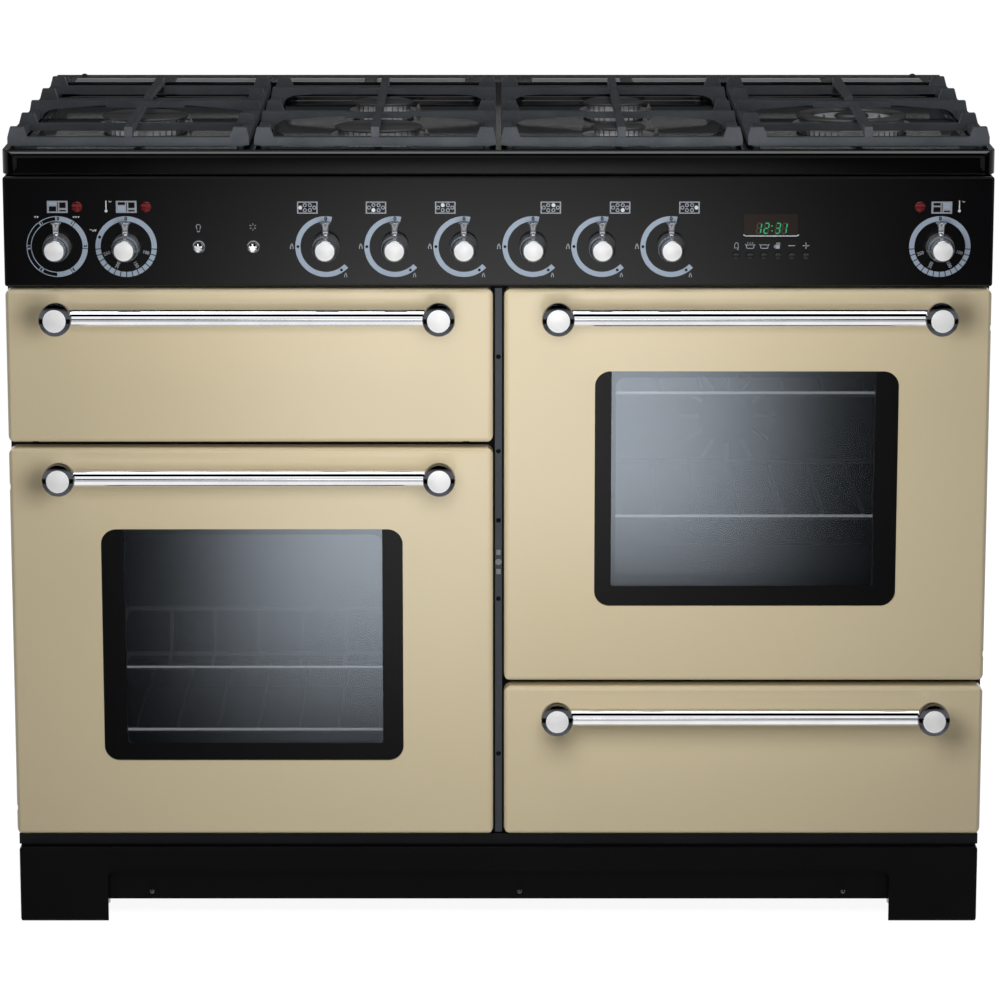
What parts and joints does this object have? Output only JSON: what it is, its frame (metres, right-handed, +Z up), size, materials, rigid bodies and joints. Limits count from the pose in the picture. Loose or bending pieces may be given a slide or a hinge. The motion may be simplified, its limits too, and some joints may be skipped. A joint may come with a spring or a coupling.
{
  "type": "range cooker",
  "caption": "Freestanding cream and black range cooker with gas hob, two side-hinged ovens, drop-down grill and storage drawer.",
  "frame": {"origin": "on the floor, in the middle of the cooker's width and depth", "axes": "+X to the viewer's right, +Y from the doors to the wall behind, +Z up"},
  "size_m": [1.092, 0.664, 0.905],
  "materials": {
    "cream_enamel": "glossy cream vitreous enamel",
    "black_enamel": "glossy black vitreous enamel",
    "black_gloss": "gloss black",
    "charcoal_paint": "satin charcoal",
    "oven_enamel": "smooth dark oven enamel",
    "cast_iron": "matt blue-grey enamelled casting",
    "chrome": "polished",
    "aluminium": "satin",
    "zinc_steel": "zinc plated, dull",
    "element_steel": "dark oxidised",
    "door_glass": "dark tinted, polished",
    "clock_glass": "dark, polished",
    "brass": "machined",
    "module_plastic": "matt black",
    "button_plastic": "gloss black",
    "neon_red": "clear red lens",
    "ceramic": "white glazed ceramic",
    "seal_black": "matt"
  },
  "bodies": {
    "carcass": {"base_frame": "charcoal_paint", "plinth": "black_enamel", "side_panels": "charcoal_paint", "back_panel": "zinc_steel", "front_frame": "charcoal_paint", "hotplate": "black_enamel", "flue_grille": "black_enamel", "fascia": "black_gloss", "control_modules": "module_plastic", "display_lens": "clock_glass", "indicator_neons": "neon_red", "left_oven_liner": "oven_enamel", "right_oven_liner": "oven_enamel", "grill_liner": "oven_enamel", "oven_racks": "chrome", "fan_cover": "oven_enamel", "fan_motor": "zinc_steel", "heating_elements": "element_steel", "grill_pan": "oven_enamel", "burner_heads": "aluminium", "burner_caps": "black_enamel", "spark_electrodes": "ceramic", "side_pan_supports": "cast_iron", "centre_pan_supports": "cast_iron", "gas_rail": "brass", "levelling_feet": "zinc_steel", "door_hardware": "zinc_steel", "oven_seals": "seal_black"},
    "left_oven_door": {"left_door_panel": "cream_enamel", "left_door_glass": "door_glass", "left_door_inner": "oven_enamel", "left_door_handle": "chrome", "left_door_rack": "chrome"},
    "right_oven_door": {"right_door_panel": "cream_enamel", "right_door_glass": "door_glass", "right_door_inner": "oven_enamel", "right_door_handle": "chrome"},
    "grill_door": {"grill_door_panel": "cream_enamel", "grill_door_handle": "chrome"},
    "storage_drawer": {"drawer_front": "cream_enamel", "drawer_tray": "zinc_steel", "drawer_handle": "chrome"},
    "light_switch": {"light_button": "chrome"},
    "ignition_switch": {"ignition_button": "chrome"},
    "oven_fan": {"fan_impeller": "aluminium"},
    "grill_control": {"grill_knob": "chrome"},
    "left_oven_control": {"left_oven_knob": "chrome"},
    "right_oven_control": {"right_oven_knob": "chrome"},
    "hob_control_1": {"hob_knob_1": "chrome"},
    "clock_key_1": {"clock_button_1": "button_plastic"},
    "hob_control_2": {"hob_knob_2": "chrome"},
    "clock_key_2": {"clock_button_2": "button_plastic"},
    "hob_control_3": {"hob_knob_3": "chrome"},
    "clock_key_3": {"clock_button_3": "button_plastic"},
    "hob_control_4": {"hob_knob_4": "chrome"},
    "clock_key_4": {"clock_button_4": "button_plastic"},
    "hob_control_5": {"hob_knob_5": "chrome"},
    "clock_key_5": {"clock_button_5": "button_plastic"},
    "hob_control_6": {"hob_knob_6": "chrome"},
    "clock_key_6": {"clock_button_6": "button_plastic"}
  },
  "joints": [
    {"name": "left_oven_door_hinge", "type": "hinge", "parent": "carcass", "child": "left_oven_door", "pos_m": [-0.535, -0.264, 0.327], "axis": [0, 0, -1], "range_deg": [0, 100]},
    {"name": "right_oven_door_hinge", "type": "hinge", "parent": "carcass", "child": "right_oven_door", "pos_m": [0.535, -0.264, 0.506], "axis": [0, 0, 1], "range_deg": [0, 100]},
    {"name": "grill_door_hinge", "type": "hinge", "parent": "carcass", "child": "grill_door", "pos_m": [-0.2755, -0.264, 0.566], "axis": [1, 0, 0], "range_deg": [0, 90]},
    {"name": "drawer_slide", "type": "slide", "parent": "carcass", "child": "storage_drawer", "axis": [0, -1, 0], "range_m": [0, 0.35]},
    {"name": "grill_knob_turn", "type": "hinge", "parent": "carcass", "child": "grill_control", "pos_m": [-0.486, -0.27, 0.7761], "axis": [0, 1, 0], "range_deg": [-150, 150]},
    {"name": "left_oven_knob_turn", "type": "hinge", "parent": "carcass", "child": "left_oven_control", "pos_m": [-0.41, -0.27, 0.7761], "axis": [0, 1, 0], "range_deg": [0, 280]},
    {"name": "right_oven_knob_turn", "type": "hinge", "parent": "carcass", "child": "right_oven_control", "pos_m": [0.486, -0.27, 0.7761], "axis": [0, 1, 0], "range_deg": [0, 280]},
    {"name": "hob_knob_1_turn", "type": "hinge", "parent": "carcass", "child": "hob_control_1", "pos_m": [-0.19, -0.27, 0.7761], "axis": [0, -1, 0], "range_deg": [0, 213]},
    {"name": "hob_knob_2_turn", "type": "hinge", "parent": "carcass", "child": "hob_control_2", "pos_m": [-0.114, -0.27, 0.7761], "axis": [0, -1, 0], "range_deg": [0, 213]},
    {"name": "hob_knob_3_turn", "type": "hinge", "parent": "carcass", "child": "hob_control_3", "pos_m": [-0.038, -0.27, 0.7761], "axis": [0, -1, 0], "range_deg": [0, 213]},
    {"name": "hob_knob_4_turn", "type": "hinge", "parent": "carcass", "child": "hob_control_4", "pos_m": [0.038, -0.27, 0.7761], "axis": [0, -1, 0], "range_deg": [0, 213]},
    {"name": "hob_knob_5_turn", "type": "hinge", "parent": "carcass", "child": "hob_control_5", "pos_m": [0.114, -0.27, 0.7761], "axis": [0, -1, 0], "range_deg": [0, 213]},
    {"name": "hob_knob_6_turn", "type": "hinge", "parent": "carcass", "child": "hob_control_6", "pos_m": [0.19, -0.27, 0.7761], "axis": [0, -1, 0], "range_deg": [0, 213]},
    {"name": "light_button_press", "type": "slide", "parent": "carcass", "child": "light_switch", "axis": [0, 1, 0], "range_m": [0, 0.003], "stiffness_N_per_m": 400},
    {"name": "ignition_button_press", "type": "slide", "parent": "carcass", "child": "ignition_switch", "axis": [0, 1, 0], "range_m": [0, 0.003], "stiffness_N_per_m": 400},
    {"name": "clock_button_1_press", "type": "slide", "parent": "carcass", "child": "clock_key_1", "axis": [0, 1, 0], "range_m": [0, 0.0015], "stiffness_N_per_m": 200},
    {"name": "clock_button_2_press", "type": "slide", "parent": "carcass", "child": "clock_key_2", "axis": [0, 1, 0], "range_m": [0, 0.0015], "stiffness_N_per_m": 200},
    {"name": "clock_button_3_press", "type": "slide", "parent": "carcass", "child": "clock_key_3", "axis": [0, 1, 0], "range_m": [0, 0.0015], "stiffness_N_per_m": 200},
    {"name": "clock_button_4_press", "type": "slide", "parent": "carcass", "child": "clock_key_4", "axis": [0, 1, 0], "range_m": [0, 0.0015], "stiffness_N_per_m": 200},
    {"name": "clock_button_5_press", "type": "slide", "parent": "carcass", "child": "clock_key_5", "axis": [0, 1, 0], "range_m": [0, 0.0015], "stiffness_N_per_m": 200},
    {"name": "clock_button_6_press", "type": "slide", "parent": "carcass", "child": "clock_key_6", "axis": [0, 1, 0], "range_m": [0, 0.0015], "stiffness_N_per_m": 200},
    {"name": "fan_spin", "type": "hinge", "parent": "carcass", "child": "oven_fan", "pos_m": [0.2755, 0.163, 0.506], "axis": [0, 1, 0], "continuous": true}
  ]
}
